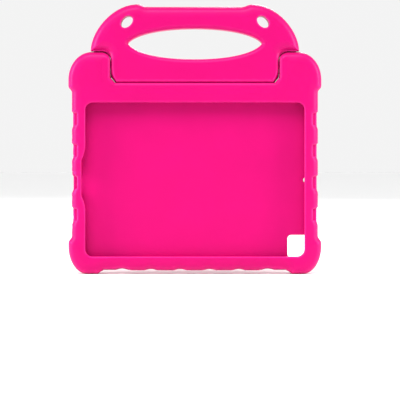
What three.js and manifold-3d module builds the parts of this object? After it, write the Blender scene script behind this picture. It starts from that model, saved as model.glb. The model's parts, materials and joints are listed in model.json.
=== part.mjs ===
// Foam tablet case with a separate carry handle that turns on an axle and folds back as a stand.
// Millimetres. X is to the right, Y to the back and Z up. The origin is under the middle of the case.
// The case stands on its two lower corner bumps with the screen window at the front.

import * as THREE from 'three';
import { mergeVertices } from 'three/addons/utils/BufferGeometryUtils.js';
import Module from 'manifold-3d';

const wasm = await Module();
wasm.setup();

// Tablet that the case is made for.
const TABLET = { width: 250.6, height: 174.1, thickness: 7.5 };
const POCKET_SLACK = 0.3;

// Depths through the case, front to back.
const FRONT_Y = -12.5;
const LIP_BACK_Y = -7.5;
const PANEL_FRONT_Y = LIP_BACK_Y + TABLET.thickness + 0.5;
const WALL_BACK_Y = 9.5;
const PAD_BACK_Y = 12.5;
const CASE_ROUNDING = 4.5;

// Case outline, half of it, seen from the front.
const SIDE_X = 133.7;
const BUMP_X = 137.5;
const BOTTOM_Z = 3.8;
const FOOT = { innerX: 98.5, flatX: 107.5, outerX: 117 };
const LOWER_BUMP = { arcTopZ: 30, endZ: 33, mergeZ: 42 };
const SHOULDER = { mergeZ: 196.5, startZ: 204.7, arcZ: 211, topX: 112.1, topZ: 241.2 };
const SHOULDER_CORNER = { x: 100.6, z: 231 };
const NOTCH = { wallX: 91.5, wallZ: 213.4, floorX: 86.7, floorZ: 207.8 };

// Pocket for the tablet and the screen window in front of it.
const POCKET_Z = 102.4;
const POCKET_RADIUS = 9;
const WINDOW = { halfWidth: 118.6, bottomZ: 19.4, topZ: 186, radius: 8 };
const BUTTON_RELIEF = {
  x: 122.8,
  outerTopZ: 132.5,
  innerTopZ: 123.5,
  innerBottomZ: 84.5,
  outerBottomZ: 75.5,
};

// Raised pad on the back and the moulded line round it.
const PAD = { halfWidth: 114, bottomZ: 22, topZ: 186, radius: 14, rounding: 2.5 };
const LINE = { halfWidth: 126.5, bottomZ: 9.5, topZ: 197, radius: 20, width: 1.6, depth: 1 };

// Grip relief on the short sides and the bottom edge.
const GRIP_NOTCH = { centresZ: [64.7, 99.5, 134.1, 168.3], height: 12.9, depth: 6, floorY: -7 };
const GRIP_WAVE = { depth: 1.3, run: 5 };
const SCALLOP = { pitch: 31.8, perSide: 3, radius: 14.6, depth: 1.4 };

// Openings for the tablet's port, speakers, microphone, camera and buttons.
const PORT = { z: 100, height: 22, depth: 9 };
const SPEAKER = { radius: 1.75, offsets: [17.2, 27.9, 38.5, 49.1] };
const MIC = { x: 120.5, z: 102, radius: 2.6 };
const CAMERA = { minX: 101, maxX: 123.5, minZ: 17, maxZ: 42, radius: 4 };
const BUTTON_SLOT = { minX: 71, maxX: 99, minY: -7, maxY: 2 };

// Hinge of the handle. Its base turns in a trough, and its back stops at the notch's bevel.
const AXIS = { y: -1.5, z: 220 };
const FOLD_STOP = THREE.MathUtils.degToRad(120);
const RUN_GAP = 0.6;

// Handle outline, half of it, seen from the front.
const HANDLE_HALF_DEPTH = 10;
const HANDLE_ROUNDING = 5;
const BASE = { bottomZ: 205.7, cornerX: 83.9, neckX: 90.9, cornerZ: 213.9 };
const EAR = { underZ: 241.8, tipX: 113.5, lipDepth: 7 };
const CREST = { x: 64, z: 293.2, endX: 49.5 };
const TOP_Z = 290.4;
const HAND_HOLE = { halfWidth: 73, tipZ: 250.3, topZ: 266.3, bottomZ: 233.2 };
const LANYARD_HOLE = { x: 73.8, z: 273.6, long: 7.5, short: 5.2, tilt: THREE.MathUtils.degToRad(45) };

// Hinge hardware.
const AXLE = { radius: 3, halfLength: 105, chamfer: 0.6 };
const FIT_GAP = 0.3;
const BUSH = { innerX: 77, outerX: 90.4, radius: 4.3, flangeRadius: 5.5, flange: 1.4 };
const SOCKET = { mouthX: 92, endX: 109, boreEndX: 105.8, radius: 5.2, flangeRadius: 6.8, flange: 1.5 };

// Smoothness of the curved stretches.
const CURVE_STEPS = 7;
const ROUND_STEPS = 3;
const CIRCLE_STEPS = 40;
const HOLE_STEPS = 16;

const FAR = 60;

/** A closed geometry as a solid that can be cut and joined. */
function solid(geometry) {
  geometry.deleteAttribute('normal');
  geometry.deleteAttribute('uv');
  const merged = mergeVertices(geometry, 1e-4);
  const vertProperties = new Float32Array(merged.attributes.position.array);
  const triVerts = new Uint32Array(merged.index.array);
  return new wasm.Manifold(new wasm.Mesh({ numProp: 3, vertProperties, triVerts }));
}

/** A solid as a geometry that a mesh can show. */
function toGeometry(body) {
  const { vertProperties, triVerts } = body.getMesh();
  const geometry = new THREE.BufferGeometry();
  geometry.setAttribute('position', new THREE.BufferAttribute(vertProperties, 3));
  geometry.setIndex(new THREE.BufferAttribute(triVerts, 1));
  geometry.computeVertexNormals();
  return geometry;
}

/** The closed outline whose right half is a path from bottom middle to top middle. */
function mirrored(half) {
  const points = half.getPoints(CURVE_STEPS);
  const right = points.filter((point, i) => i === 0 || point.distanceTo(points[i - 1]) > 1e-3);
  const left = right.filter((point) => point.x > 1e-3).reverse();
  return [...right, ...left.map((point) => new THREE.Vector2(-point.x, point.y))];
}

/** An S-shaped step on a path between two upright stretches. */
function stepAcross(path, x, z) {
  const middle = (path.currentPoint.y + z) / 2;
  path.bezierCurveTo(path.currentPoint.x, middle, x, middle, x, z);
}

/** An S-shaped step on a path between two level stretches. */
function stepUp(path, x, z) {
  const middle = (path.currentPoint.x + x) / 2;
  path.bezierCurveTo(middle, path.currentPoint.y, middle, z, x, z);
}

/** A slab with an outline in X and Z, between two depths, with its front and back edges rounded. */
function slab(outline, front, back, rounding = 0, hole = null) {
  const shape = new THREE.Shape(outline);
  if (hole) shape.holes.push(new THREE.Path(hole));
  const geometry = new THREE.ExtrudeGeometry(shape, {
    depth: back - front - 2 * rounding,
    bevelEnabled: rounding > 0,
    bevelThickness: rounding,
    bevelSize: rounding,
    bevelOffset: -rounding,
    bevelSegments: ROUND_STEPS,
  });
  geometry.rotateX(Math.PI / 2);
  geometry.translate(0, back - rounding, 0);
  return solid(geometry);
}

/** A box between two values on each axis. */
function box(minX, maxX, minY, maxY, minZ, maxZ) {
  const geometry = new THREE.BoxGeometry(maxX - minX, maxY - minY, maxZ - minZ);
  geometry.translate((minX + maxX) / 2, (minY + maxY) / 2, (minZ + maxZ) / 2);
  return solid(geometry);
}

/** The corner points of a rectangle with round corners. */
function roundedRectangle(minX, maxX, minZ, maxZ, radius) {
  const path = new THREE.Path();
  path.moveTo(minX + radius, minZ);
  path.absarc(maxX - radius, minZ + radius, radius, -Math.PI / 2, 0);
  path.absarc(maxX - radius, maxZ - radius, radius, 0, Math.PI / 2);
  path.absarc(minX + radius, maxZ - radius, radius, Math.PI / 2, Math.PI);
  path.absarc(minX + radius, minZ + radius, radius, Math.PI, 1.5 * Math.PI);
  const points = path.getPoints(CURVE_STEPS);
  return points.filter((point, i) => point.distanceTo(points.at(i - 1)) > 1e-3);
}

/** A shape turned about the hinge axis, from a closed loop of [radius, x] points in either order. */
function turned(loop) {
  const points = loop.map(([radius, x]) => new THREE.Vector2(radius, x));
  if (THREE.ShapeUtils.isClockWise(points)) points.reverse();
  points.push(points[0].clone());
  const geometry = new THREE.LatheGeometry(points, CIRCLE_STEPS);
  geometry.rotateZ(-Math.PI / 2);
  geometry.translate(0, AXIS.y, AXIS.z);
  return solid(geometry);
}

/** A round rod on the hinge axis between two X values. */
function rod(radius, minX, maxX) {
  return turned([[0, minX], [radius, minX], [radius, maxX], [0, maxX]]);
}

/** A round hole cutter through the case from the side, along X. */
function sideHole(radius, minX, maxX, y, z) {
  const geometry = new THREE.CylinderGeometry(radius, radius, maxX - minX, HOLE_STEPS);
  geometry.rotateZ(Math.PI / 2);
  geometry.translate((minX + maxX) / 2, y, z);
  return solid(geometry);
}

/** The case's outline, seen from the front. */
function caseOutline() {
  const half = new THREE.Path();
  half.moveTo(0, BOTTOM_Z);
  half.lineTo(FOOT.innerX, BOTTOM_Z);
  stepUp(half, FOOT.flatX, 0);
  half.lineTo(FOOT.outerX, 0);
  half.absellipse(FOOT.outerX, LOWER_BUMP.arcTopZ, BUMP_X - FOOT.outerX, LOWER_BUMP.arcTopZ, -Math.PI / 2, 0);
  half.lineTo(BUMP_X, LOWER_BUMP.endZ);
  stepAcross(half, SIDE_X, LOWER_BUMP.mergeZ);
  half.lineTo(SIDE_X, SHOULDER.mergeZ);
  stepAcross(half, BUMP_X, SHOULDER.startZ);
  half.lineTo(BUMP_X, SHOULDER.arcZ);
  half.absellipse(
    SHOULDER.topX,
    SHOULDER.arcZ,
    BUMP_X - SHOULDER.topX,
    SHOULDER.topZ - SHOULDER.arcZ,
    0,
    Math.PI / 2,
  );
  half.lineTo(SHOULDER_CORNER.x, SHOULDER.topZ);
  half.absellipse(
    SHOULDER_CORNER.x,
    SHOULDER_CORNER.z,
    SHOULDER_CORNER.x - NOTCH.wallX,
    SHOULDER.topZ - SHOULDER_CORNER.z,
    Math.PI / 2,
    Math.PI,
  );
  half.lineTo(NOTCH.wallX, NOTCH.wallZ);
  half.lineTo(NOTCH.floorX, NOTCH.floorZ);
  half.lineTo(0, NOTCH.floorZ);
  return mirrored(half);
}

/** The handle's outline, seen from the front. */
function handleOutline() {
  const gap = EAR.underZ - SHOULDER.topZ;
  const half = new THREE.Path();
  half.moveTo(0, BASE.bottomZ);
  half.lineTo(BASE.cornerX, BASE.bottomZ);
  half.lineTo(BASE.neckX, BASE.cornerZ);
  half.lineTo(BASE.neckX, SHOULDER_CORNER.z);
  half.absellipse(
    SHOULDER_CORNER.x,
    SHOULDER_CORNER.z,
    SHOULDER_CORNER.x - BASE.neckX,
    SHOULDER.topZ + gap - SHOULDER_CORNER.z,
    Math.PI,
    Math.PI / 2,
    true,
  );
  half.lineTo(EAR.tipX, EAR.underZ);
  half.bezierCurveTo(EAR.tipX, EAR.underZ + 22, CREST.x + 26, CREST.z - 1, CREST.x, CREST.z);
  stepUp(half, CREST.endX, TOP_Z);
  half.lineTo(0, TOP_Z);
  return mirrored(half);
}

/** The lens-shaped opening for the hand. */
function handHoleOutline() {
  const { halfWidth, tipZ, topZ, bottomZ } = HAND_HOLE;
  const half = new THREE.Path();
  half.moveTo(0, bottomZ);
  half.bezierCurveTo(0.58 * halfWidth, bottomZ, 0.91 * halfWidth, tipZ - 9.3, halfWidth, tipZ);
  half.bezierCurveTo(0.91 * halfWidth, tipZ + 8.7, 0.55 * halfWidth, topZ, 0, topZ);
  return mirrored(half);
}

/** The round bar that the handle's base is turned to below the axis, or with a gap the trough it turns in. */
function baseBar(gap) {
  const endX = BASE.neckX + gap;
  const endRadius = AXIS.z - BASE.cornerZ + 2 * gap;
  const radius = AXIS.z - BASE.bottomZ + gap;
  const cornerX = BASE.cornerX + 2 * gap;
  return turned([
    [0, -endX],
    [endRadius, -endX],
    [radius, -cornerX],
    [radius, cornerX],
    [endRadius, endX],
    [0, endX],
  ]);
}

/** The space that the handle's back reaches, behind a depth and down to its back face when folded. */
function foldSpace(halfWidth, startY) {
  const offset = HANDLE_HALF_DEPTH + RUN_GAP;
  const faceZ = (y) => (y * Math.cos(FOLD_STOP) - offset) / Math.sin(FOLD_STOP);
  const points = [[startY, faceZ(startY)], [FAR, faceZ(FAR)], [FAR, FAR], [startY, FAR]];
  const shape = new THREE.Shape(points.map(([y, z]) => new THREE.Vector2(y, z)));
  const geometry = new THREE.ExtrudeGeometry(shape, { depth: 2 * halfWidth, bevelEnabled: false });
  geometry.rotateX(Math.PI / 2);
  geometry.rotateZ(Math.PI / 2);
  geometry.translate(-halfWidth, AXIS.y, AXIS.z);
  return solid(geometry);
}

/** All that lies outside one shoulder's inner corner turned about the axis, with a gap to the corner. */
function aroundShoulder(side, gap) {
  const corner = new THREE.EllipseCurve(
    SHOULDER_CORNER.x,
    SHOULDER_CORNER.z,
    SHOULDER_CORNER.x - NOTCH.wallX + gap,
    SHOULDER.topZ - SHOULDER_CORNER.z + gap,
    Math.PI,
    Math.PI / 2,
    true,
  );
  const edge = corner.getPoints(CURVE_STEPS).map((point) => [point.y - AXIS.z, point.x]);
  const inner = [[edge[0][0], NOTCH.wallX - gap - 1], ...edge, [edge.at(-1)[0], BUMP_X + 1]];
  const loop = [...inner, [FAR, BUMP_X + 1], [FAR, NOTCH.wallX - gap - 1]];
  return turned(loop.map(([radius, x]) => [radius, side * x]));
}

/** What the handle's ears sweep through over the back of one shoulder. */
function shoulderRelief(side) {
  return aroundShoulder(side, 0).intersect(foldSpace(BUMP_X + 2, 0));
}

/** The foam moulding that holds the tablet. */
function caseBody() {
  const halfPocketX = TABLET.width / 2 + POCKET_SLACK;
  const halfPocketZ = TABLET.height / 2 + POCKET_SLACK;
  const padOutline = roundedRectangle(-PAD.halfWidth, PAD.halfWidth, PAD.bottomZ, PAD.topZ, PAD.radius);
  const pocket = roundedRectangle(
    -halfPocketX,
    halfPocketX,
    POCKET_Z - halfPocketZ,
    POCKET_Z + halfPocketZ,
    POCKET_RADIUS,
  );
  const windowOutline = roundedRectangle(
    -WINDOW.halfWidth,
    WINDOW.halfWidth,
    WINDOW.bottomZ,
    WINDOW.topZ,
    WINDOW.radius,
  );
  return slab(caseOutline(), FRONT_Y, WALL_BACK_Y, CASE_ROUNDING)
    .add(slab(padOutline, PANEL_FRONT_Y + 1, PAD_BACK_Y, PAD.rounding))
    .subtract(slab(pocket, LIP_BACK_Y, PANEL_FRONT_Y))
    .subtract(slab(windowOutline, FRONT_Y - 1, LIP_BACK_Y + 1))
    .subtract(buttonRelief())
    .subtract(backLine())
    .subtract(foldSpace(NOTCH.wallX, HANDLE_HALF_DEPTH * Math.cos(FOLD_STOP)))
    .subtract(baseBar(RUN_GAP))
    .subtract(shoulderRelief(1))
    .subtract(shoulderRelief(-1))
    .subtract(gripCuts())
    .subtract(tabletOpenings())
    .subtract(socketSeat(1))
    .subtract(socketSeat(-1));
}

/** The wider stretch of the window beside the tablet's round button. */
function buttonRelief() {
  const { x, outerTopZ, innerTopZ, innerBottomZ, outerBottomZ } = BUTTON_RELIEF;
  const inside = -WINDOW.halfWidth + 1;
  const slope = 1 / (x - WINDOW.halfWidth);
  const spill = (outerTopZ - innerTopZ) * slope;
  const outline = [
    [inside, outerTopZ + spill],
    [-x, innerTopZ],
    [-x, innerBottomZ],
    [inside, outerBottomZ - spill],
  ];
  return slab(outline.map(([px, pz]) => new THREE.Vector2(px, pz)), FRONT_Y - 1, LIP_BACK_Y + 1);
}

/** The narrow moulded line that runs round the back. */
function backLine() {
  const ring = (inset) =>
    roundedRectangle(
      -LINE.halfWidth + inset,
      LINE.halfWidth - inset,
      LINE.bottomZ + inset,
      LINE.topZ - inset,
      LINE.radius - inset,
    );
  return slab(ring(0), WALL_BACK_Y - LINE.depth, WALL_BACK_Y + 1, 0, ring(LINE.width));
}

/** The waves and finger notches on both short sides, and the scallops along the bottom. */
function gripCuts() {
  const cuts = [];
  const halfHeight = GRIP_NOTCH.height / 2;
  const recessX = SIDE_X - GRIP_WAVE.depth;
  for (const side of [-1, 1]) {
    for (const z of GRIP_NOTCH.centresZ) {
      const wave = [
        [SIDE_X + 1, z - halfHeight - 2 * GRIP_WAVE.run],
        [SIDE_X, z - halfHeight - GRIP_WAVE.run],
        [recessX, z - halfHeight],
        [recessX, z + halfHeight],
        [SIDE_X, z + halfHeight + GRIP_WAVE.run],
        [SIDE_X + 1, z + halfHeight + 2 * GRIP_WAVE.run],
      ];
      const outline = wave.map(([x, pz]) => new THREE.Vector2(side * x, pz));
      cuts.push(slab(outline, FRONT_Y - 1, WALL_BACK_Y + 1));
      const [minX, maxX] = [side * (SIDE_X - GRIP_NOTCH.depth), side * (SIDE_X + 1)].sort((a, b) => a - b);
      cuts.push(box(minX, maxX, FRONT_Y - 1, GRIP_NOTCH.floorY, z - halfHeight, z + halfHeight));
    }
    for (let i = 0; i < SCALLOP.perSide; i += 1) {
      const x = side * (i + 0.5) * SCALLOP.pitch;
      const geometry = new THREE.CylinderGeometry(SCALLOP.radius, SCALLOP.radius, 2 * FAR, CIRCLE_STEPS);
      geometry.translate(x, 0, BOTTOM_Z + SCALLOP.depth - SCALLOP.radius);
      cuts.push(solid(geometry));
    }
  }
  return wasm.Manifold.union(cuts);
}

/** Every opening that lets the tablet's port, speakers, microphone, camera and buttons through. */
function tabletOpenings() {
  const middleY = LIP_BACK_Y + TABLET.thickness / 2;
  const wallInsideX = TABLET.width / 2 - 2;
  const cuts = [];
  cuts.push(
    box(
      -BUMP_X,
      -wallInsideX,
      middleY - PORT.depth / 2,
      middleY + PORT.depth / 2,
      PORT.z - PORT.height / 2,
      PORT.z + PORT.height / 2,
    ),
  );
  for (const offset of SPEAKER.offsets) {
    cuts.push(sideHole(SPEAKER.radius, -BUMP_X, -wallInsideX, middleY, PORT.z + offset));
    cuts.push(sideHole(SPEAKER.radius, -BUMP_X, -wallInsideX, middleY, PORT.z - offset));
  }
  const mic = new THREE.CylinderGeometry(MIC.radius, MIC.radius, 2 * FAR, HOLE_STEPS);
  mic.translate(MIC.x, FAR, MIC.z);
  cuts.push(solid(mic));
  const camera = roundedRectangle(CAMERA.minX, CAMERA.maxX, CAMERA.minZ, CAMERA.maxZ, CAMERA.radius);
  cuts.push(slab(camera, PANEL_FRONT_Y - 1, PAD_BACK_Y + 1));
  const slotTopZ = POCKET_Z - TABLET.height / 2 + 1;
  for (const [minX, maxX] of [[BUTTON_SLOT.minX, BUTTON_SLOT.maxX], [-BUTTON_SLOT.maxX, -BUTTON_SLOT.minX]]) {
    cuts.push(box(minX, maxX, BUTTON_SLOT.minY, BUTTON_SLOT.maxY, -1, slotTopZ));
  }
  return wasm.Manifold.union(cuts);
}

/** The seat that one axle socket is pressed into. */
function socketSeat(side) {
  const { endX, radius, flangeRadius, mouthX, flange } = SOCKET;
  const shank = rod(radius + FIT_GAP, side * NOTCH.wallX - side, side * (endX + FIT_GAP));
  const mouth = rod(flangeRadius + FIT_GAP, side * NOTCH.wallX - side, side * (mouthX + flange + FIT_GAP));
  return shank.add(mouth);
}

/** The foam handle, bored along its base for the axle. */
function handleGrip() {
  const front = AXIS.y - HANDLE_HALF_DEPTH;
  const back = AXIS.y + HANDLE_HALF_DEPTH;
  const blank = slab(handleOutline(), front, back, HANDLE_ROUNDING, handHoleOutline());
  const under = box(-BASE.neckX - 1, BASE.neckX + 1, front - 1, back + 1, BASE.bottomZ - 1, AXIS.z);
  const bore = rod(AXLE.radius + FIT_GAP, -BASE.neckX - 1, BASE.neckX + 1);
  let grip = blank.subtract(under.subtract(baseBar(0))).add(earLip(1)).add(earLip(-1)).subtract(bore);
  for (const side of [-1, 1]) {
    const { innerX, outerX, radius, flangeRadius, flange } = BUSH;
    grip = grip.subtract(rod(radius + FIT_GAP, side * (innerX - FIT_GAP), side * (BASE.neckX + 1)));
    grip = grip.subtract(
      rod(flangeRadius + FIT_GAP, side * (outerX - flange - FIT_GAP), side * (BASE.neckX + 1)),
    );
    grip = grip.subtract(lanyardHole(side));
  }
  return grip;
}

/** The lip under the back of one ear, which reaches down to the shoulder's turned back. */
function earLip(side) {
  const [minX, maxX] = [side * (BASE.neckX - 1), side * (EAR.tipX - 1)].sort((a, b) => a - b);
  const block = box(minX, maxX, AXIS.y, AXIS.y + EAR.lipDepth, SHOULDER_CORNER.z - 3, EAR.underZ + 1);
  return block.intersect(aroundShoulder(side, RUN_GAP));
}

/** One slanted oval hole near the top corner of the handle. */
function lanyardHole(side) {
  const { x, z, long, short, tilt } = LANYARD_HOLE;
  const lean = Math.PI / 2 + side * tilt;
  const oval = new THREE.EllipseCurve(side * x, z, long, short, 0, 2 * Math.PI, false, lean);
  const outline = oval.getPoints(CIRCLE_STEPS / 2).slice(1);
  return slab(outline, -FAR, FAR);
}

/** The axle, with its two ends chamfered. */
function hingeAxle() {
  const { radius, halfLength, chamfer } = AXLE;
  const neck = halfLength - chamfer;
  return turned([
    [0, -halfLength],
    [radius - chamfer, -halfLength],
    [radius, -neck],
    [radius, neck],
    [radius - chamfer, halfLength],
    [0, halfLength],
  ]);
}

/** A flanged bush in one end of the handle's base. */
function handleBush(side) {
  const { innerX, outerX, radius, flangeRadius, flange } = BUSH;
  const bore = AXLE.radius + FIT_GAP;
  const loop = [
    [bore, innerX],
    [radius, innerX],
    [radius, outerX - flange],
    [flangeRadius, outerX - flange],
    [flangeRadius, outerX],
    [bore, outerX],
  ];
  return turned(loop.map(([r, x]) => [r, side * x]));
}

/** A blind flanged socket in one shoulder. */
function axleSocket(side) {
  const { mouthX, endX, boreEndX, radius, flangeRadius, flange } = SOCKET;
  const bore = AXLE.radius + FIT_GAP;
  const loop = [
    [0, boreEndX],
    [bore, boreEndX],
    [bore, mouthX],
    [flangeRadius, mouthX],
    [flangeRadius, mouthX + flange],
    [radius, mouthX + flange],
    [radius, endX],
    [0, endX],
  ];
  return turned(loop.map(([r, x]) => [r, side * x]));
}

/** A named mesh with a material of its own. */
function mesh(name, body, color, roughness, metalness = 0) {
  const material = new THREE.MeshStandardMaterial({ color, roughness, metalness });
  const part = new THREE.Mesh(toGeometry(body), material);
  part.name = name;
  return part;
}

const FOAM_PINK = 0xf5118a;
const PLASTIC_PINK = 0xc40f6c;
const AXLE_GREY = 0x8a8d90;

const tabletCase = new THREE.Group();
tabletCase.add(mesh('case_body', caseBody(), FOAM_PINK, 0.62));

const handle = new THREE.Group();
handle.add(mesh('handle_grip', handleGrip(), FOAM_PINK, 0.62));
handle.add(mesh('hinge_axle', hingeAxle(), AXLE_GREY, 0.35));
tabletCase.add(handle);

for (const [label, side] of [['left', -1], ['right', 1]]) {
  handle.add(mesh(`handle_bush_${label}`, handleBush(side), PLASTIC_PINK, 0.45));
  tabletCase.add(mesh(`axle_socket_${label}`, axleSocket(side), PLASTIC_PINK, 0.45));
}

export default tabletCase;
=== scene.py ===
# Foam tablet case with a carry handle that folds back behind it as a stand.
# Shapes are worked out in millimetres, and become metres as each mesh is made.
# X is to the right, Y to the back and Z up, with the screen window at the front.
import json
import math

import bpy
import numpy as np
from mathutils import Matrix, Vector


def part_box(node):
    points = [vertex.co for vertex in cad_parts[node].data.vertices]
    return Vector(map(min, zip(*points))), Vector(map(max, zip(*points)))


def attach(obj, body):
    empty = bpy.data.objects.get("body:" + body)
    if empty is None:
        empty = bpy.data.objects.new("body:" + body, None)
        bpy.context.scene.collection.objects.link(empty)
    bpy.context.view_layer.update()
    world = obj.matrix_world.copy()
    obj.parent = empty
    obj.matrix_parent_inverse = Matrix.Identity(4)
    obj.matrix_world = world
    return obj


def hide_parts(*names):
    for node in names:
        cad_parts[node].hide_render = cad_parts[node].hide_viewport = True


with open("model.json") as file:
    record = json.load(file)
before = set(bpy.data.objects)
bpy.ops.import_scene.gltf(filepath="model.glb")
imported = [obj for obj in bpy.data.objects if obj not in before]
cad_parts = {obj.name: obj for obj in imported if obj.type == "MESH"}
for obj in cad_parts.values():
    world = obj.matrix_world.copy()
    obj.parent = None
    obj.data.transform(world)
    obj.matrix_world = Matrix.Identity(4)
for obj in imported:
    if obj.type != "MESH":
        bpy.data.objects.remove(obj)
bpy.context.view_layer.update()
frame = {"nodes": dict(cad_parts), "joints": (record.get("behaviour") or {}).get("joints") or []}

MM = 0.001
OVERRUN = 1  # how far a cut or a joined shape runs on past the surface that it must reach

# What the CAD model fixes: the two mouldings' boxes and the hinge between them.
CASE_LOW, CASE_HIGH = [np.array(corner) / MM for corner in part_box("case_body")]
HANDLE_LOW, HANDLE_HIGH = [np.array(corner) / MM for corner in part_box("handle_grip")]
HINGE = frame["joints"][0]
AXIS_Y, AXIS_Z = [value / MM for value in HINGE["pos_m"][1:]]
FOLD_STOP = math.radians(HINGE["range_deg"][1])

# Depths through the case, front to back, and how its front face is rounded and leans.
FRONT_Y = CASE_LOW[1]
LIP_BACK_Y = -7.5
PANEL_FRONT_Y = 0.5
WALL_BACK_Y = 9.5
PAD_BACK_Y = CASE_HIGH[1]
CASE_ROUNDING = 5.5
CROWN = {"height": 3.4, "run": 14}
LIP_LEAN = {"slope": 0.06, "x": 92, "run": 12}

# Case outline, half of it, seen from the front.
SIDE_X = 133.7
BUMP_X = CASE_HIGH[0]
BOTTOM_Z = 3.8
FOOT = {"inner_x": 98.5, "flat_x": 107.5, "outer_x": 117}
LOWER_BUMP = {"arc_top_z": 30, "end_z": 33, "merge_z": 42}
SHOULDER = {"merge_z": 196.5, "start_z": 204.7, "arc_z": 211, "top_x": 112.1, "top_z": CASE_HIGH[2]}
SHOULDER_CORNER = {"x": 100.6, "z": 231}
NOTCH = {"wall_x": 91.5, "wall_z": 213.4, "floor_x": 86.7, "floor_z": 207.8}

# Pocket for the tablet and the screen window in front of it.
POCKET = {"x": 125.6, "bottom_z": 15.05, "top_z": 189.75, "radius": 9, "edge": 1}
WINDOW = {"x": 118.6, "bottom_z": 19.4, "top_z": 186, "radius": 8, "edge": 1.8}
BUTTON_RELIEF = {"x": 122.8, "outer_z": (75.5, 132.5), "inner_z": (84.5, 123.5), "inset": 4, "blend": 3}

# Raised pad on the back and the moulded line round it.
PAD = {"x": 114, "bottom_z": 22, "top_z": 186, "radius": 14, "edge": 2.8, "fillet": 1.8}
PAD_CROWN = {"height": 0.7, "run": 7}
LINE = {"x": 126.5, "bottom_z": 9.5, "top_z": 197, "radius": 20, "half_width": 0.9, "edge": 0.6}

# Grip relief on the short sides and the bottom edge.
GRIP_NOTCH = {"height": 12.9, "depth": 6, "floor_y": -7, "corner": 1, "edge": 1.5}
GRIP_NOTCH_CENTRES_Z = (64.7, 99.5, 134.1, 168.3)
GRIP_WAVE = {"depth": 1.3, "run_below": 6, "run_above": 1.8}
SCALLOP = {"pitch": 31.8, "per_side": 3, "radius": 14.6, "depth": 1.4, "edge": 0.6}

# Openings for the tablet's port, speakers, microphone, camera and buttons.
PORT = {"y": -3.75, "z": 100, "height": 22, "depth": 9, "radius": 1.5, "edge": 1}
SPEAKER = {"radius": 1.75, "offsets": (17.2, 27.9, 38.5, 49.1), "edge": 0.5}
MIC = {"x": 120.5, "z": 102, "radius": 2.6, "edge": 0.7}
TABLET_CAMERA = {"x": (101, 123.5), "z": (17, 42), "radius": 4, "edge": 1.2}
BUTTON_SLOT = {"x": (71, 99), "y": (-7, 2), "radius": 1.5, "edge": 1}
WALL_INSIDE_X = 123.3

# Handle outline, half of it, seen from the front.
HANDLE_ROUNDING = 6.5
HANDLE_HALF_DEPTH = (HANDLE_HIGH[1] - HANDLE_LOW[1]) / 2
BASE = {"bottom_z": HANDLE_LOW[2], "corner_x": 84.8, "neck_x": 91, "corner_z": 213.15, "above_axis": -2}
EAR = {"under_z": 241.8, "tip_x": HANDLE_HIGH[0], "pull_z": 22}
NECK_CORE = {"front_y": -6, "back_y": 7, "inset": 3, "edge": 0.4}
CREST = {"x": 64, "z": HANDLE_HIGH[2], "end_x": 49.5, "top_z": 290.4, "pull_x": 26, "pull_z": 1}
HAND_HOLE = {"x": 73, "tip_z": 250.3, "top_z": 266.3, "bottom_z": 233.2, "edge": 5}
HAND_HOLE_PULL = {"bottom": 0.58, "top": 0.55, "tip": 0.91, "below_tip": 9.3, "above_tip": 8.7}
LANYARD_HOLE = {"x": 73.8, "z": 273.6, "long": 7.5, "short": 5.2, "edge": 1.5}

# Where the case and the handle meet, their edges are tighter and their faces flat.
SEAM = {"x": 103, "bottom_z": 196, "top_z": 243, "run": 10, "rounding": 4.2}
# How far the narrow gap reaches, where the foam is painted darker as shade and made dull.
SEAM_GAP = {"reach": 2.5, "half_depth": 9, "fade": 3, "end_fade": 2}

# Gaps round what is pressed in, and round what turns.
FIT_GAP = 0.3
RUN_GAP = 0.6

# Room for the handle to turn in: the trough under its base, and the space behind it.
TROUGH = {"corner_x": 85.1, "end_x": 91.5, "radius": 14.9, "end_radius": 7.3}
FOLD_EDGE = {"radius": 1.5, "run": 4}
SHOULDER_REACH = 20  # how far a shoulder's turned outline goes on past the case's side

# Seats for the hinge hardware.
AXLE_RADIUS = 3
BUSH = {"inner_x": 77, "outer_x": 90.4, "radius": 4.3, "flange_radius": 5.5, "flange": 1.4}
SOCKET = {"mouth_x": 92, "end_x": 109, "radius": 5.2, "flange_radius": 6.8, "flange": 1.5}

# Fineness of the outlines and meshes.
CURVE_STEPS = 14
CELL = 0.75
MARGIN = 3
LAST_CELL = 1.001  # keeps a point that is read between the grid's points inside its last cell
FLAT_ANGLE = math.radians(4)  # a normal this near to an axis is set along it
CASE_TRIANGLES = 180000
HANDLE_TRIANGLES = 90000

# The foam's colours and gloss, and how many of each pattern's features there are in a metre.
FOAM_COLOR = (0.56, 0.0005, 0.134, 1)
# The darker pink: random tone in the skin, and also painted shade in hollow creases.
FOAM_DEEP = (0.46, 0.0004, 0.104, 1)
# Paler pink for bulging edges: partly rubbed wear, partly a painted highlight.
FOAM_WORN_AND_HIGHLIT = (0.72, 0.014, 0.22, 1)
FOAM_SHADED = (0.2, 0.0005, 0.04, 1)
FOAM_PATTERN = {"mottle": 22, "cloud": 260, "grain": 1900, "pebble": 1100.0}
FOAM_GLOSS = {"low": 0.38, "high": 0.47, "specular": 0.25, "tint": (1, 0.45, 0.85, 1)}
FOAM_SHEEN = {"weight": 0.03, "roughness": 0.4, "tint": (1, 0.5, 0.8, 1)}
FOAM_BUMP = {"strength": 0.35, "height": 0.00006}

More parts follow.
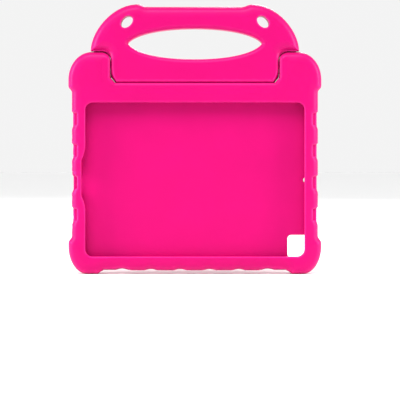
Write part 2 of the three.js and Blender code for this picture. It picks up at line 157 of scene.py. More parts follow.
# Floor and lamps, in metres and watts. The backdrop is pale near the horizon, apart from the front:
# its heights and depths are parts of a direction of length 1.
FLOOR = {"half_size": 6, "albedo": 0.92, "roughness": 0.9}
BACKDROP = {"low_z": 0.12, "high_z": 0.3, "front_y": -0.85, "back_y": -0.5, "dim": 0.27, "pale": 0.9}
LAMP_TARGET = (0, 0, 0.14)
SUN = {"energy": 2.7, "angle": math.radians(35), "place": (-0.25, -1, 1.6)}
LAMP_SIZE = (0.4, 0.9)
LAMPS = {
    "left": ((-1.3, -0.35, 0.6), 20),
    "right": ((1.3, -0.35, 0.6), 18),
    "behind": ((0.3, 1.5, 1.2), 20),
}

# Camera, in metres.
CAMERA_PLACE = (0, -1.6125, 0.140)
CAMERA_LENS = 133.2
CAMERA_SHIFT = (0.0128, -0.1372)


class Path:
    """Points along an outline in X and Z, from straight and curved stretches."""

    def __init__(self, x, z):
        self.points = [(x, z)]

    def line(self, x, z):
        """A straight stretch to a point."""
        self.points.append((x, z))

    def curve(self, first, second, x, z):
        """A cubic curve to a point, drawn towards two others on the way."""
        ends = np.array([self.points[-1], first, second, (x, z)])
        for t in np.linspace(0, 1, CURVE_STEPS + 1)[1:]:
            share = np.array([(1 - t) ** 3, 3 * t * (1 - t) ** 2, 3 * t ** 2 * (1 - t), t ** 3])
            self.points.append(tuple(share @ ends))

    def step_across(self, x, z):
        """An S-shaped step between two upright stretches."""
        middle = (self.points[-1][1] + z) / 2
        self.curve((self.points[-1][0], middle), (x, middle), x, z)

    def step_up(self, x, z):
        """An S-shaped step between two level stretches."""
        middle = (self.points[-1][0] + x) / 2
        self.curve((middle, self.points[-1][1]), (middle, z), x, z)

    def arc(self, x, z, radius_x, radius_z, start, end):
        """Part of an ellipse about a centre, between two angles in degrees."""
        for angle in np.radians(np.linspace(start, end, CURVE_STEPS + 1)):
            self.points.append((x + radius_x * math.cos(angle), z + radius_z * math.sin(angle)))

    def mirrored(self):
        """The closed outline whose right half this path is."""
        left = [(-x, z) for x, z in reversed(self.points) if x > 0.001]
        return self.points + left


def case_outline():
    """The case's outline, with the waves in its short sides."""
    half = Path(0, BOTTOM_Z)
    half.line(FOOT["inner_x"], BOTTOM_Z)
    half.step_up(FOOT["flat_x"], 0)
    half.line(FOOT["outer_x"], 0)
    bump_z = LOWER_BUMP["arc_top_z"]
    half.arc(FOOT["outer_x"], bump_z, BUMP_X - FOOT["outer_x"], bump_z, -90, 0)
    half.line(BUMP_X, LOWER_BUMP["end_z"])
    half.step_across(SIDE_X, LOWER_BUMP["merge_z"])
    recess_x = SIDE_X - GRIP_WAVE["depth"]
    for z in GRIP_NOTCH_CENTRES_Z:
        low_z = z - GRIP_NOTCH["height"] / 2
        high_z = z + GRIP_NOTCH["height"] / 2
        half.line(SIDE_X, low_z - GRIP_WAVE["run_below"])
        half.step_across(recess_x, low_z)
        half.line(recess_x, high_z)
        half.step_across(SIDE_X, high_z + GRIP_WAVE["run_above"])
    half.line(SIDE_X, SHOULDER["merge_z"])
    half.step_across(BUMP_X, SHOULDER["start_z"])
    top_x, arc_z, top_z = SHOULDER["top_x"], SHOULDER["arc_z"], SHOULDER["top_z"]
    half.arc(top_x, arc_z, BUMP_X - top_x, top_z - arc_z, 0, 90)
    corner_x, corner_z = SHOULDER_CORNER["x"], SHOULDER_CORNER["z"]
    half.arc(corner_x, corner_z, corner_x - NOTCH["wall_x"], top_z - corner_z, 90, 180)
    half.line(NOTCH["wall_x"], NOTCH["wall_z"])
    half.line(NOTCH["floor_x"], NOTCH["floor_z"])
    half.line(0, NOTCH["floor_z"])
    return half.mirrored()


def handle_outline():
    """The handle's outline, from the base bar up round the ears."""
    half = Path(0, BASE["bottom_z"])
    half.line(BASE["corner_x"], BASE["bottom_z"])
    half.line(BASE["neck_x"], BASE["corner_z"])
    corner_x, corner_z = SHOULDER_CORNER["x"], SHOULDER_CORNER["z"]
    half.arc(corner_x, corner_z, corner_x - BASE["neck_x"], EAR["under_z"] - corner_z, 180, 90)
    half.line(EAR["tip_x"], EAR["under_z"])
    ear_pull = (EAR["tip_x"], EAR["under_z"] + EAR["pull_z"])
    crest_pull = (CREST["x"] + CREST["pull_x"], CREST["z"] - CREST["pull_z"])
    half.curve(ear_pull, crest_pull, CREST["x"], CREST["z"])
    half.step_up(CREST["end_x"], CREST["top_z"])
    half.line(0, CREST["top_z"])
    return half.mirrored()


def hand_hole_outline():
    """The lens-shaped opening for the hand."""
    x, tip_z = HAND_HOLE["x"], HAND_HOLE["tip_z"]
    bottom_z, top_z, pull = HAND_HOLE["bottom_z"], HAND_HOLE["top_z"], HAND_HOLE_PULL
    half = Path(0, bottom_z)
    half.curve((pull["bottom"] * x, bottom_z), (pull["tip"] * x, tip_z - pull["below_tip"]), x, tip_z)
    half.curve((pull["tip"] * x, tip_z + pull["above_tip"]), (pull["top"] * x, top_z), 0, top_z)
    return half.mirrored()


def lanyard_hole_outline(side):
    """One slanted oval hole, whose top leans towards the middle of the handle."""
    turn = math.radians(90 + 45 * side)
    points = []
    for angle in np.radians(np.linspace(0, 360, 4 * CURVE_STEPS, endpoint=False)):
        along = LANYARD_HOLE["long"] * math.cos(angle)
        across = LANYARD_HOLE["short"] * math.sin(angle)
        x = along * math.cos(turn) - across * math.sin(turn)
        z = along * math.sin(turn) + across * math.cos(turn)
        points.append((side * LANYARD_HOLE["x"] + x, LANYARD_HOLE["z"] + z))
    return points


def bar_outline(profile):
    """The outline of a round bar on the hinge's axis, from its right half's (x, radius) points."""
    below = [(x, AXIS_Z - radius) for x, radius in profile]
    above = [(x, AXIS_Z + radius) for x, radius in reversed(profile)]
    return below + above + [(-x, z) for x, z in reversed(below + above)]


def shoulder_corner_outline(side):
    """The inner corner and top of one shoulder, carried on past the case's side."""
    corner_x, corner_z, top_z = SHOULDER_CORNER["x"], SHOULDER_CORNER["z"], SHOULDER["top_z"]
    path = Path(NOTCH["wall_x"], WINDOW["top_z"])
    path.arc(corner_x, corner_z, corner_x - NOTCH["wall_x"], top_z - corner_z, 180, 90)
    path.line(BUMP_X + SHOULDER_REACH, top_z)
    path.line(BUMP_X + SHOULDER_REACH, WINDOW["top_z"])
    return [(side * x, z) for x, z in path.points]


def window_relief_outline():
    """The wider stretch of the window beside the tablet's round button."""
    x, inset = BUTTON_RELIEF["x"], BUTTON_RELIEF["inset"]
    outer_low, outer_high = BUTTON_RELIEF["outer_z"]
    inner_low, inner_high = BUTTON_RELIEF["inner_z"]
    spill = inset * (outer_high - inner_high) / (x - WINDOW["x"])
    inside_x = WINDOW["x"] - inset
    inner_side = [(-x, inner_high), (-x, inner_low)]
    return [(-inside_x, outer_high + spill)] + inner_side + [(-inside_x, outer_low - spill)]


class Grid:
    """Evenly spaced points through a box. A shape is each point's distance to it, less than 0 inside."""

    def __init__(self, low, high):
        self.low = np.array(low) - MARGIN
        counts = np.ceil((np.array(high) + MARGIN - self.low) / CELL).astype(int) + 1
        x, y, z = [self.low[k] + CELL * np.arange(counts[k]) for k in range(3)]
        self.x = x[:, None, None].astype(np.float32)
        self.y = y[None, :, None].astype(np.float32)
        self.z = z[None, None, :].astype(np.float32)

    def prism(self, outline):
        """The distance in X and Z to a closed outline, the same at every depth."""
        nearest = np.full((self.x.size, 1, self.z.size), np.inf, np.float32)
        inside = np.zeros(nearest.shape, bool)
        for (ax, az), (bx, bz) in zip(outline, outline[1:] + outline[:1]):
            ex, ez = bx - ax, bz - az
            length = ex * ex + ez * ez
            if length < 1e-8:
                continue
            along = np.clip(((self.x - ax) * ex + (self.z - az) * ez) / length, 0, 1)
            gap = (self.x - ax - along * ex) ** 2 + (self.z - az - along * ez) ** 2
            nearest = np.minimum(nearest, gap)
            if ez:
                crosses = (self.z >= min(az, bz)) & (self.z < max(az, bz))
                inside ^= crosses & (self.x < ax + (self.z - az) * ex / ez)
        return np.where(inside, -1, 1).astype(np.float32) * np.sqrt(nearest)

    def rectangle(self, low_x, high_x, low_z, high_z, radius):
        """The distance in X and Z to a rectangle with round corners."""
        return rounded_rectangle(self.x, self.z, (low_x, high_x), (low_z, high_z), radius)

    def from_axis(self):
        """The distance of each point from the hinge's axis."""
        return np.hypot(self.y - AXIS_Y, self.z - AXIS_Z)

    def turned(self, upright, way):
        """A prism turned about the hinge's axis, as it is above the axis (way 1) or below it (way -1)."""
        height = AXIS_Z + way * self.from_axis()[0]
        place = np.clip((height - self.low[2]) / CELL, 0, self.z.size - LAST_CELL)
        lower = place.astype(int)
        share = (place - lower).astype(np.float32)
        across = upright[:, 0, :]
        return across[:, lower] * (1 - share) + across[:, lower + 1] * share


def rounded_rectangle(p, q, p_range, q_range, radius):
    """The distance to a rectangle with round corners, across any two directions."""
    p_out = np.abs(p - sum(p_range) / 2) - (p_range[1] - p_range[0]) / 2 + radius
    q_out = np.abs(q - sum(q_range) / 2) - (q_range[1] - q_range[0]) / 2 + radius
    outside = np.hypot(np.maximum(p_out, 0), np.maximum(q_out, 0))
    return outside + np.minimum(np.maximum(p_out, q_out), 0) - radius


def common(a, b, radius):
    """What two shapes share, with the edge between their surfaces rounded."""
    corner = np.hypot(np.maximum(a + radius, 0), np.maximum(b + radius, 0))
    return np.minimum(np.maximum(a, b), -radius) + corner


def joined(a, b, radius):
    """Two shapes as one, with a fillet where their surfaces meet."""
    return -common(-a, -b, radius)


def cut(shape, tool, radius):
    """A shape with a tool's shape taken away, and the edge of the cut rounded."""
    return common(shape, -tool, radius)


def case_shape(grid):
    """The foam moulding that holds the tablet."""
    outline = grid.prism(case_outline())
    edge = cut(outline, scallops(grid), SCALLOP["edge"])
    seam = near_seam(grid)
    front_y = FRONT_Y + crown(edge, seam) + lip_lean(grid)
    depth = np.maximum(front_y - grid.y, grid.y - WALL_BACK_Y)
    shape = common(edge, depth, CASE_ROUNDING + (SEAM["rounding"] - CASE_ROUNDING) * seam)
    shape = joined(shape, back_pad(grid), PAD["fillet"])
    shape = cut(shape, back_line(grid), LINE["edge"])
    sides, under_stop = fold_space(grid)
    rounding = FIT_GAP + FOLD_EDGE["radius"] * eased(-sides / FOLD_EDGE["run"])
    shape = cut(shape, np.maximum(sides, under_stop), rounding)
    shape = cut(shape, base_trough(grid), FIT_GAP)
    shape = cut(shape, grip_notches(grid), GRIP_NOTCH["edge"])
    shape = cut(shape, pocket(grid), POCKET["edge"])
    shape = cut(shape, window(grid), WINDOW["edge"])
    for tool, edge_radius in tablet_openings(grid):
        shape = cut(shape, tool, edge_radius)
    return cut(shape, socket_seats(grid), FIT_GAP)


def near_seam(grid):
    """How near each point is to where the case and the handle meet, from 0 to 1."""
    zone = grid.rectangle(-SEAM["x"], SEAM["x"], SEAM["bottom_z"], SEAM["top_z"], SEAM["run"])
    return eased(-zone / SEAM["run"])


def seam_gap(grid):
    """How far inside the narrow gap between the case and the handle each point is, from 0 to 1."""
    beside = eased(SEAM_GAP["reach"] - np.abs(grid.prism(handle_outline())))
    deep = eased((SEAM_GAP["half_depth"] - np.abs(grid.y - AXIS_Y)) / SEAM_GAP["fade"])
    below_top = eased((SEAM["top_z"] - grid.z) / SEAM_GAP["end_fade"])
    above_bottom = eased((grid.z - SEAM["bottom_z"]) / SEAM_GAP["end_fade"])
    return beside * deep * below_top * above_bottom


def eased(share):
    """A share held between 0 and 1, with a gentle start and end."""
    share = np.clip(share, 0, 1)
    return share * share * (3 - 2 * share)


def crown(outline, seam):
    """How far a face falls away from flat towards its outline."""
    nearness = np.clip(1 + outline / CROWN["run"], 0, 1)
    return CROWN["height"] * nearness ** 2 * (1 - seam)


def lip_lean(grid):
    """How far the front of the bottom lip leans back below the window, between the corner bumps."""
    between = eased((LIP_LEAN["x"] + LIP_LEAN["run"] - np.abs(grid.x)) / LIP_LEAN["run"])
    return LIP_LEAN["slope"] * np.maximum(WINDOW["bottom_z"] - grid.z, 0) * between


def scallops(grid):
    """The row of shallow hollows along the bottom edge."""
    nearest = np.full((grid.x.size, 1, grid.z.size), np.inf, np.float32)
    centre_z = BOTTOM_Z + SCALLOP["depth"] - SCALLOP["radius"]
    for i in range(-SCALLOP["per_side"], SCALLOP["per_side"]):
        x = (i + 0.5) * SCALLOP["pitch"]
        nearest = np.minimum(nearest, np.hypot(grid.x - x, grid.z - centre_z) - SCALLOP["radius"])
    return nearest


def back_pad(grid):
    """The raised pad, a little lower along its edges than in its middle."""
    outline = grid.rectangle(-PAD["x"], PAD["x"], PAD["bottom_z"], PAD["top_z"], PAD["radius"])
    fall = PAD_CROWN["height"] * np.exp(np.minimum(outline, 0) / PAD_CROWN["run"])
    depth = np.maximum(grid.y - PAD_BACK_Y + fall, PANEL_FRONT_Y + OVERRUN - grid.y)
    return common(outline, depth, PAD["edge"])


def back_line(grid):
    """The narrow moulded line that runs round the back."""
    outline = grid.rectangle(-LINE["x"], LINE["x"], LINE["bottom_z"], LINE["top_z"], LINE["radius"])
    return np.hypot(outline + LINE["half_width"], grid.y - WALL_BACK_Y) - LINE["half_width"]


def fold_space(grid):
    """The space behind the axis that the folding handle sweeps: its sides, and its folded back face."""
    behind = grid.y - AXIS_Y
    above = grid.z - AXIS_Z
    over_stop = above * math.sin(FOLD_STOP) - behind * math.cos(FOLD_STOP) + HANDLE_HALF_DEPTH + RUN_GAP
    notch = np.maximum(HANDLE_HALF_DEPTH * math.cos(FOLD_STOP) - behind, np.abs(grid.x) - NOTCH["wall_x"])
    notch = np.maximum(notch, grid.z - NOTCH["wall_z"] - OVERRUN)
    corners = [grid.turned(grid.prism(shoulder_corner_outline(side)), 1) for side in (-1, 1)]
    shoulders = np.maximum(-behind, -np.minimum(*corners))
    return np.minimum(notch, shoulders), -over_stop


def base_trough(grid):
    """The round trough that the handle's base turns in."""
    profile = [(TROUGH["corner_x"], TROUGH["radius"]), (TROUGH["end_x"], TROUGH["end_radius"])]
    return grid.turned(grid.prism(bar_outline(profile)), -1)


def grip_notches(grid):
    """The finger notches in the front edge of both short sides."""
    half_height = GRIP_NOTCH["height"] / 2
    across = SIDE_X - GRIP_NOTCH["depth"] - np.abs(grid.x)
    nearest = np.full((1, 1, grid.z.size), np.inf, np.float32)
    for z in GRIP_NOTCH_CENTRES_Z:
        nearest = np.minimum(nearest, np.abs(grid.z - z) - half_height)
    notches = common(across, nearest, GRIP_NOTCH["corner"])
    return common(notches, grid.y - GRIP_NOTCH["floor_y"], GRIP_NOTCH["corner"])


def pocket(grid):
    """The space that the tablet fills."""
    low_z, high_z = POCKET["bottom_z"], POCKET["top_z"]
    outline = grid.rectangle(-POCKET["x"], POCKET["x"], low_z, high_z, POCKET["radius"])
    depth = np.maximum(LIP_BACK_Y - grid.y, grid.y - PANEL_FRONT_Y)
    return common(outline, depth, POCKET["edge"])


def window(grid):
    """The opening in front of the tablet's screen."""
    low_z, high_z = WINDOW["bottom_z"], WINDOW["top_z"]
    outline = grid.rectangle(-WINDOW["x"], WINDOW["x"], low_z, high_z, WINDOW["radius"])
    outline = joined(outline, grid.prism(window_relief_outline()), BUTTON_RELIEF["blend"])
    return np.maximum(outline, grid.y - LIP_BACK_Y - 2 * OVERRUN)


def tablet_openings(grid):
    """The openings by the tablet's port, speakers, microphone, camera and buttons, with their edge radii."""
    x, y, z = grid.x, grid.y, grid.z
    outside_wall = x + WALL_INSIDE_X
    port_y = (PORT["y"] - PORT["depth"] / 2, PORT["y"] + PORT["depth"] / 2)
    port_z = (PORT["z"] - PORT["height"] / 2, PORT["z"] + PORT["height"] / 2)
    port = np.maximum(rounded_rectangle(y, z, port_y, port_z, PORT["radius"]), outside_wall)
    holes = [PORT["z"] + sign * offset for sign in (-1, 1) for offset in SPEAKER["offsets"]]
    speaker = np.min([np.hypot(y - PORT["y"], z - hole_z) for hole_z in holes], axis=0) - SPEAKER["radius"]
    speakers = np.maximum(speaker, outside_wall)
    behind_panel = PANEL_FRONT_Y - OVERRUN - y
    mic = np.maximum(np.hypot(x - MIC["x"], z - MIC["z"]) - MIC["radius"], behind_panel)
    lens = rounded_rectangle(x, z, TABLET_CAMERA["x"], TABLET_CAMERA["z"], TABLET_CAMERA["radius"])
    lens = np.maximum(lens, behind_panel)
    slot = rounded_rectangle(np.abs(x), y, BUTTON_SLOT["x"], BUTTON_SLOT["y"], BUTTON_SLOT["radius"])
    slots = np.maximum(slot, z - POCKET["bottom_z"] - OVERRUN)
    return [
        (port, PORT["edge"]),
        (speakers, SPEAKER["edge"]),
        (mic, MIC["edge"]),
        (lens, TABLET_CAMERA["edge"]),
        (slots, BUTTON_SLOT["edge"]),
    ]


def socket_seats(grid):
    """The seats that the two axle sockets are pressed into."""
    radius = grid.from_axis()
    width = np.abs(grid.x)
    shank = np.maximum(radius - SOCKET["radius"] - FIT_GAP, width - SOCKET["end_x"] - FIT_GAP)
    mouth_end_x = SOCKET["mouth_x"] + SOCKET["flange"] + FIT_GAP
    mouth = np.maximum(radius - SOCKET["flange_radius"] - FIT_GAP, width - mouth_end_x)
    return np.minimum(shank, mouth)


def handle_shape(grid):
    """The foam handle, bored along its base for the axle and its bushes."""
    outline = grid.prism(handle_outline())
    seam = near_seam(grid)
    depth = np.abs(grid.y - AXIS_Y) - HANDLE_HALF_DEPTH + crown(outline, seam)
    shape = common(outline, depth, HANDLE_ROUNDING + (SEAM["rounding"] - HANDLE_ROUNDING) * seam)
    shape = joined(shape, neck_core(grid, outline), NECK_CORE["edge"])
    shape = cut(shape, grid.prism(hand_hole_outline()), HAND_HOLE["edge"])
    for side in (-1, 1):
        shape = cut(shape, grid.prism(lanyard_hole_outline(side)), LANYARD_HOLE["edge"])
    shape = common(shape, base_bar(grid), FIT_GAP)
    radius = grid.from_axis()
    width = np.abs(grid.x)
    bore = radius - AXLE_RADIUS - FIT_GAP
    seat = np.maximum(radius - BUSH["radius"] - FIT_GAP, BUSH["inner_x"] - FIT_GAP - width)
    flange_x = BUSH["outer_x"] - BUSH["flange"] - FIT_GAP
    flange = np.maximum(radius - BUSH["flange_radius"] - FIT_GAP, flange_x - width)
    return cut(shape, np.minimum(np.minimum(bore, seat), flange), FIT_GAP)


def neck_core(grid, outline):
    """The square-edged middle of the neck, with a lip behind that follows the shoulders' turned backs."""
    behind = grid.y - AXIS_Y
    lip = np.maximum(np.maximum(grid.turned(outline, 1), AXIS_Z - grid.z), -behind)
    past_side = np.abs(grid.x) - EAR["tip_x"] + NECK_CORE["inset"]
    across = np.maximum(grid.z - EAR["under_z"] - OVERRUN, past_side)
    depth = np.maximum(NECK_CORE["front_y"] - behind, behind - NECK_CORE["back_y"])
    return common(np.maximum(np.minimum(outline, lip), across), depth, NECK_CORE["edge"])


def base_bar(grid):
    """The round bar that holds the handle's base in below the axis, and doesn't reach above it."""
    radius = AXIS_Z - BASE["bottom_z"]
    taper = (BASE["neck_x"] - BASE["corner_x"]) / (BASE["corner_z"] - BASE["bottom_z"])
    profile = [(BASE["corner_x"], radius), (BASE["corner_x"] + radius * taper, 0)]
    bar = grid.turned(grid.prism(bar_outline(profile)), -1)
    return np.where(grid.z < AXIS_Z, bar, np.minimum(bar, BASE["above_axis"]))


def surface_net(shape):
    """The surface where a shape's distance is zero: points in grid steps, and four-sided faces."""
    inside = shape < 0
    cells = tuple(count - 1 for count in shape.shape)
    around, crossings, rings = [], [], []
    for axis in range(3):
        low = tuple(slice(0, -1) if k == axis else slice(None) for k in range(3))
        high = tuple(slice(1, None) if k == axis else slice(None) for k in range(3))
        edges = np.argwhere(inside[low] != inside[high])
        start = shape[low][tuple(edges.T)]
        end = shape[high][tuple(edges.T)]
        crossing = edges.astype(np.float64)
        crossing[:, axis] += start / (start - end)
        first, second = [k for k in range(3) if k != axis]
        ring = []
        for step in ((0, 0), (1, 0), (1, 1), (0, 1)):
            cell = edges.copy()
            cell[:, first] -= 1 - step[0]
            cell[:, second] -= 1 - step[1]
            ring.append(np.ravel_multi_index(tuple(cell.T), cells))
            around.append(ring[-1])
            crossings.append(crossing)
        ring = np.stack(ring, axis=1)
        backwards = (start >= 0) != (axis == 1)
        ring[backwards] = ring[backwards][:, ::-1]
        rings.append(ring)
    cell_ids, index = np.unique(np.concatenate(around), return_inverse=True)
    crossings = np.concatenate(crossings)
    count = np.bincount(index)
    points = np.stack([np.bincount(index, crossings[:, k]) / count for k in range(3)], axis=1)
    faces = np.searchsorted(cell_ids, np.concatenate(rings))
    return points, faces


def sampled(values, points):
    """Values on a grid, read between its points."""
    points = np.clip(points, 0, np.array(values.shape) - LAST_CELL)
    lower = points.astype(int)
    share = points - lower
    total = 0
    for corner in np.ndindex(2, 2, 2):
        weight = np.prod(np.where(corner, share, 1 - share), axis=1)
        total = total + weight * values[tuple((lower + corner).T)]
    return total


def foam_mesh(name, grid, shape, triangles):
    """A shape's smooth mesh, in metres, with true normals and its "edge" and "gap" values.

    Edge is how sharply the surface bends, more than 0 where it bulges. Gap is how far in the seam it lies.
    """
    slopes = np.gradient(shape, CELL)
    bend = sum(np.gradient(slopes[k], CELL, axis=k) for k in range(3))

    def on_surface(points, rounds):
        """Points moved along the slope to where the distance is zero, half a grid step at most each round."""
        for _ in range(rounds):
            slope = np.stack([sampled(slopes[k], points) for k in range(3)], axis=1)
            steepness = np.maximum((slope ** 2).sum(axis=1), 0.25)
            move = slope * (sampled(shape, points) / steepness)[:, None]
            points = points - np.clip(move / CELL, -0.5, 0.5)
        return points

    points, faces = surface_net(shape)
    points = on_surface(points, 2)
    fine = bpy.data.meshes.new(name + "_fine")
    fine.from_pydata(((points * CELL + grid.low) * MM).tolist(), [], faces.tolist())
    piece = bpy.data.objects.new(name, fine)
    bpy.context.scene.collection.objects.link(piece)
    thin = piece.modifiers.new("thin_out", "DECIMATE")
    thin.ratio = min(1, triangles / (2 * len(faces)))
    graph = bpy.context.evaluated_depsgraph_get()
    mesh = bpy.data.meshes.new_from_object(piece.evaluated_get(graph))
    piece.modifiers.clear()
    piece.data = mesh
    mesh.name = name
    bpy.data.meshes.remove(fine)

    places = np.empty(len(mesh.vertices) * 3)
    mesh.vertices.foreach_get("co", places)
    points = on_surface((places.reshape(-1, 3) / MM - grid.low) / CELL, 1)
    mesh.vertices.foreach_set("co", ((points * CELL + grid.low) * MM).ravel())
    normals = np.stack([sampled(slopes[k], points) for k in range(3)], axis=1)
    normals /= np.linalg.norm(normals, axis=1)[:, None]
    flat = np.abs(normals).max(axis=1) > math.cos(FLAT_ANGLE)
    normals[flat] = np.round(normals[flat])
    mesh.polygons.foreach_set("use_smooth", np.ones(len(mesh.polygons), bool))
    mesh.normals_split_custom_set_from_vertices(normals.tolist())
    edge = mesh.attributes.new("edge", "FLOAT", "POINT")
    edge.data.foreach_set("value", np.where(flat, 0, np.clip(sampled(bend, points), -1, 1)))
    gap = mesh.attributes.new("gap", "FLOAT", "POINT")
    gap.data.foreach_set("value", sampled(np.broadcast_to(seam_gap(grid), shape.shape), points))
    mesh.update()
    return piece


def linked(tree, kind, inputs=None, **settings):
    """A new node with its settings made, and its inputs set to values or joined to outputs."""
    node = tree.nodes.new(kind)
    for key, value in settings.items():
        setattr(node, key, value)
    for key, value in (inputs or {}).items():
        if isinstance(value, bpy.types.NodeSocket):
            tree.links.new(value, node.inputs[key])
        else:
            node.inputs[key].default_value = value
    return node


def noise(tree, place, scale, detail=2.0, roughness=0.5):
    """A noise pattern on the piece's own coordinates."""
    inputs = {"Vector": place, "Scale": scale, "Detail": detail, "Roughness": roughness}
    return linked(tree, "ShaderNodeTexNoise", inputs).outputs["Fac"]


def spread(tree, value, low, high, out_low, out_high):
    """A value's range mapped to another, and held inside it."""
    inputs = {"Value": value, "From Min": low, "From Max": high, "To Min": out_low, "To Max": out_high}
    return linked(tree, "ShaderNodeMapRange", inputs).outputs["Result"]


def mixed(tree, share, first, second):
    """Two colours mixed by a share from 0 to 1."""
    node = linked(tree, "ShaderNodeMix", data_type="RGBA")
    for key, value in (("Factor_Float", share), ("A_Color", first), ("B_Color", second)):
        socket = next(item for item in node.inputs if item.identifier == key)
        if isinstance(value, bpy.types.NodeSocket):
            tree.links.new(value, socket)
        else:
            socket.default_value = value
    return next(item for item in node.outputs if item.identifier == "Result_Color")


def new_material(name):
    """An empty node material, its tree, its shader and the piece's own coordinates."""
    material = bpy.data.materials.new(name)
    material.use_nodes = True
    tree = material.node_tree
    shader = tree.nodes["Principled BSDF"]
    place = linked(tree, "ShaderNodeTexCoord").outputs["Object"]
    return material, tree, shader, place


def foam_material(name):
    """Moulded closed-cell foam: a satin skin with a fine grain. Bulging edges are paler, partly rubbed wear
    and partly painted highlight. Hollow creases are darker as painted shade, and the seam is darker as
    painted shade and dull.
    """
    material, tree, shader, place = new_material(name)
    mottle = noise(tree, place, FOAM_PATTERN["mottle"], 3)
    cloud = noise(tree, place, FOAM_PATTERN["cloud"], 4)
    grain = noise(tree, place, FOAM_PATTERN["grain"], 3, 0.6)
    cells = {"Vector": place, "Scale": FOAM_PATTERN["pebble"]}
    pebble = linked(tree, "ShaderNodeTexVoronoi", cells).outputs["Distance"]
    edge = linked(tree, "ShaderNodeAttribute", attribute_name="edge").outputs["Fac"]
    colour = mixed(tree, spread(tree, mottle, 0.3, 0.7, 0, 0.35), FOAM_COLOR, FOAM_DEEP)
    colour = mixed(tree, spread(tree, grain, 0.35, 0.65, 0, 0.1), colour, FOAM_DEEP)
    # Bulging edges are mixed towards the paler pink: partly rubbed wear, partly a painted highlight on the
    # rounding.
    bent_out = spread(tree, edge, 0.1, 0.6, 0, 1.1)
    rubbed_and_highlit = linked(tree, "ShaderNodeMath", {0: bent_out, 1: cloud}, operation="MULTIPLY")
    colour = mixed(tree, rubbed_and_highlit.outputs[0], colour, FOAM_WORN_AND_HIGHLIT)
    # Painted shade: hollow creases are mixed towards the darker pink.
    crease_shade = spread(tree, edge, -0.5, -0.08, 0.35, 0)
    colour = mixed(tree, crease_shade, colour, FOAM_DEEP)
    gap = linked(tree, "ShaderNodeAttribute", attribute_name="gap").outputs["Fac"]
    # Painted shade: the narrow gap between case and handle is mixed towards a dark pink.
    colour = mixed(tree, spread(tree, gap, 0, 1, 0, 0.5), colour, FOAM_SHADED)
    tree.links.new(colour, shader.inputs["Base Color"])
    satin = spread(tree, cloud, 0.3, 0.7, FOAM_GLOSS["low"], FOAM_GLOSS["high"])
    dulled = linked(tree, "ShaderNodeMath", {0: satin, 1: gap}, operation="MAXIMUM")
    tree.links.new(dulled.outputs[0], shader.inputs["Roughness"])
    height = linked(tree, "ShaderNodeMath", {0: grain, 1: pebble}, operation="ADD").outputs[0]
    relief = {"Strength": FOAM_BUMP["strength"], "Distance": FOAM_BUMP["height"], "Height": height}
    bump = linked(tree, "ShaderNodeBump", relief)
    tree.links.new(bump.outputs["Normal"], shader.inputs["Normal"])
    shader.inputs["Specular IOR Level"].default_value = FOAM_GLOSS["specular"]
    shader.inputs["Specular Tint"].default_value = FOAM_GLOSS["tint"]
    shader.inputs["Sheen Weight"].default_value = FOAM_SHEEN["weight"]
    shader.inputs["Sheen Roughness"].default_value = FOAM_SHEEN["roughness"]
    shader.inputs["Sheen Tint"].default_value = FOAM_SHEEN["tint"]
    return material


def plastic_material(name, colour, deep, roughness, ridges=0):
    """Moulded or turned plastic with fine marks round it and slightly uneven colour."""
    material, tree, shader, place = new_material(name)
    cloud = noise(tree, place, 300, 4)
    grain = noise(tree, place, 3000, 2)
    uneven = mixed(tree, spread(tree, cloud, 0.3, 0.7, 0, 1), colour, deep)
    tree.links.new(uneven, shader.inputs["Base Color"])
    gloss = spread(tree, grain, 0.3, 0.7, roughness - 0.06, roughness + 0.08)
    tree.links.new(gloss, shader.inputs["Roughness"])
    height = grain
    if ridges:
        wave = {"Vector": place, "Scale": float(ridges), "Distortion": 0.6, "Detail": 2.0}
        marks = linked(tree, "ShaderNodeTexWave", wave, bands_direction="X").outputs["Fac"]
        height = linked(tree, "ShaderNodeMath", {0: grain, 1: marks}, operation="ADD").outputs[0]
    bump = linked(tree, "ShaderNodeBump", {"Strength": 0.3, "Distance": 0.00005, "Height": height})
    tree.links.new(bump.outputs["Normal"], shader.inputs["Normal"])
    return material


def finish_node(node, material):
    """Gives a CAD node's own mesh a material."""
    mesh = frame["nodes"][node].data
    if not mesh.materials:
        mesh.materials.append(material)
    for index in range(len(mesh.materials)):
        mesh.materials[index] = material


def foam_piece(body, node, grid, shape_of, triangles):
    """One foam moulding, meshed, finished and fixed to its CAD body."""
    slot = body + "_foam"
    piece = foam_mesh(body + "_moulding", grid, shape_of(grid), triangles)
    piece.data.materials.clear()
    piece.data.materials.append(foam_material(slot))
    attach(piece, body)
    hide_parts(node)


def hinge_hardware():
    """Finishes the axle, the bushes and the sockets, which keep their CAD shapes."""
    axle = plastic_material("axle_plastic", (0.27, 0.28, 0.3, 1), (0.2, 0.21, 0.23, 1), 0.35, ridges=400)
    moulded = plastic_material("hinge_plastic", (0.55, 0.012, 0.16, 1), (0.45, 0.01, 0.12, 1), 0.45)
    finish_node("hinge_axle", axle)
    for side in ("left", "right"):
        finish_node("handle_bush_" + side, moulded)
        finish_node("axle_socket_" + side, moulded)


def floor():
    """The plain pale surface that the case stands on."""
    half, albedo = FLOOR["half_size"], FLOOR["albedo"]
    mesh = bpy.data.meshes.new("floor")
    corners = [(-half, -half, 0), (half, -half, 0), (half, half, 0), (-half, half, 0)]
    mesh.from_pydata(corners, [], [(0, 1, 2, 3)])
    plane = bpy.data.objects.new("floor", mesh)
    bpy.context.scene.collection.objects.link(plane)
    material = bpy.data.materials.new("floor")
    material.use_nodes = True
    shader = material.node_tree.nodes["Principled BSDF"]
    shader.inputs["Base Color"].default_value = (albedo, albedo, albedo, 1)
    shader.inputs["Roughness"].default_value = FLOOR["roughness"]
    mesh.materials.append(material)


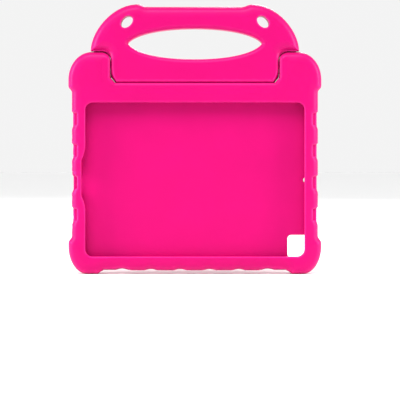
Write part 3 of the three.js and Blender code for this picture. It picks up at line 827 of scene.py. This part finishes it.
def aimed(name, lamp, place):
    """Places a lamp and turns it to the middle of the case."""
    holder = bpy.data.objects.new(name, lamp)
    holder.location = place
    aim = Vector(LAMP_TARGET) - holder.location
    holder.rotation_euler = aim.to_track_quat("-Z", "Y").to_euler()
    bpy.context.scene.collection.objects.link(holder)


def studio():
    """A pale backdrop, broad light from above the front, and soft lamps at both sides and behind."""
    world = bpy.data.worlds.new("studio")
    world.use_nodes = True
    tree = world.node_tree
    direction = linked(tree, "ShaderNodeTexCoord").outputs["Generated"]
    parts = linked(tree, "ShaderNodeSeparateXYZ", {"Vector": direction})
    steepness = linked(tree, "ShaderNodeMath", {0: parts.outputs["Z"]}, operation="ABSOLUTE").outputs[0]
    level = spread(tree, steepness, BACKDROP["low_z"], BACKDROP["high_z"], 1, 0)
    away = spread(tree, parts.outputs["Y"], BACKDROP["front_y"], BACKDROP["back_y"], 0, 1)
    band = linked(tree, "ShaderNodeMath", {0: level, 1: away}, operation="MULTIPLY").outputs[0]
    background = tree.nodes["Background"]
    background.inputs["Color"].default_value = (1, 1, 1, 1)
    strength = spread(tree, band, 0, 1, BACKDROP["dim"], BACKDROP["pale"])
    tree.links.new(strength, background.inputs["Strength"])
    bpy.context.scene.world = world
    bpy.context.scene.view_settings.view_transform = "Standard"
    broad = bpy.data.lights.new("broad", "SUN")
    broad.energy = SUN["energy"]
    broad.angle = SUN["angle"]
    aimed("broad", broad, SUN["place"])
    for name, (place, watts) in LAMPS.items():
        lamp = bpy.data.lights.new(name, "AREA")
        lamp.shape = "RECTANGLE"
        lamp.size, lamp.size_y = LAMP_SIZE
        lamp.energy = watts
        aimed(name, lamp, place)


def camera():
    """The camera, straight in front of the case and about half as high as its handle's top."""
    lens = bpy.data.cameras.new("front_camera")
    lens.lens = CAMERA_LENS
    lens.shift_x, lens.shift_y = CAMERA_SHIFT
    holder = bpy.data.objects.new("front_camera", lens)
    holder.location = CAMERA_PLACE
    holder.rotation_euler = (math.radians(90), 0, 0)
    bpy.context.scene.collection.objects.link(holder)
    bpy.context.scene.camera = holder


foam_piece("case", "case_body", Grid(CASE_LOW, CASE_HIGH), case_shape, CASE_TRIANGLES)
foam_piece("handle", "handle_grip", Grid(HANDLE_LOW, HANDLE_HIGH), handle_shape, HANDLE_TRIANGLES)
hinge_hardware()
floor()
studio()
camera()
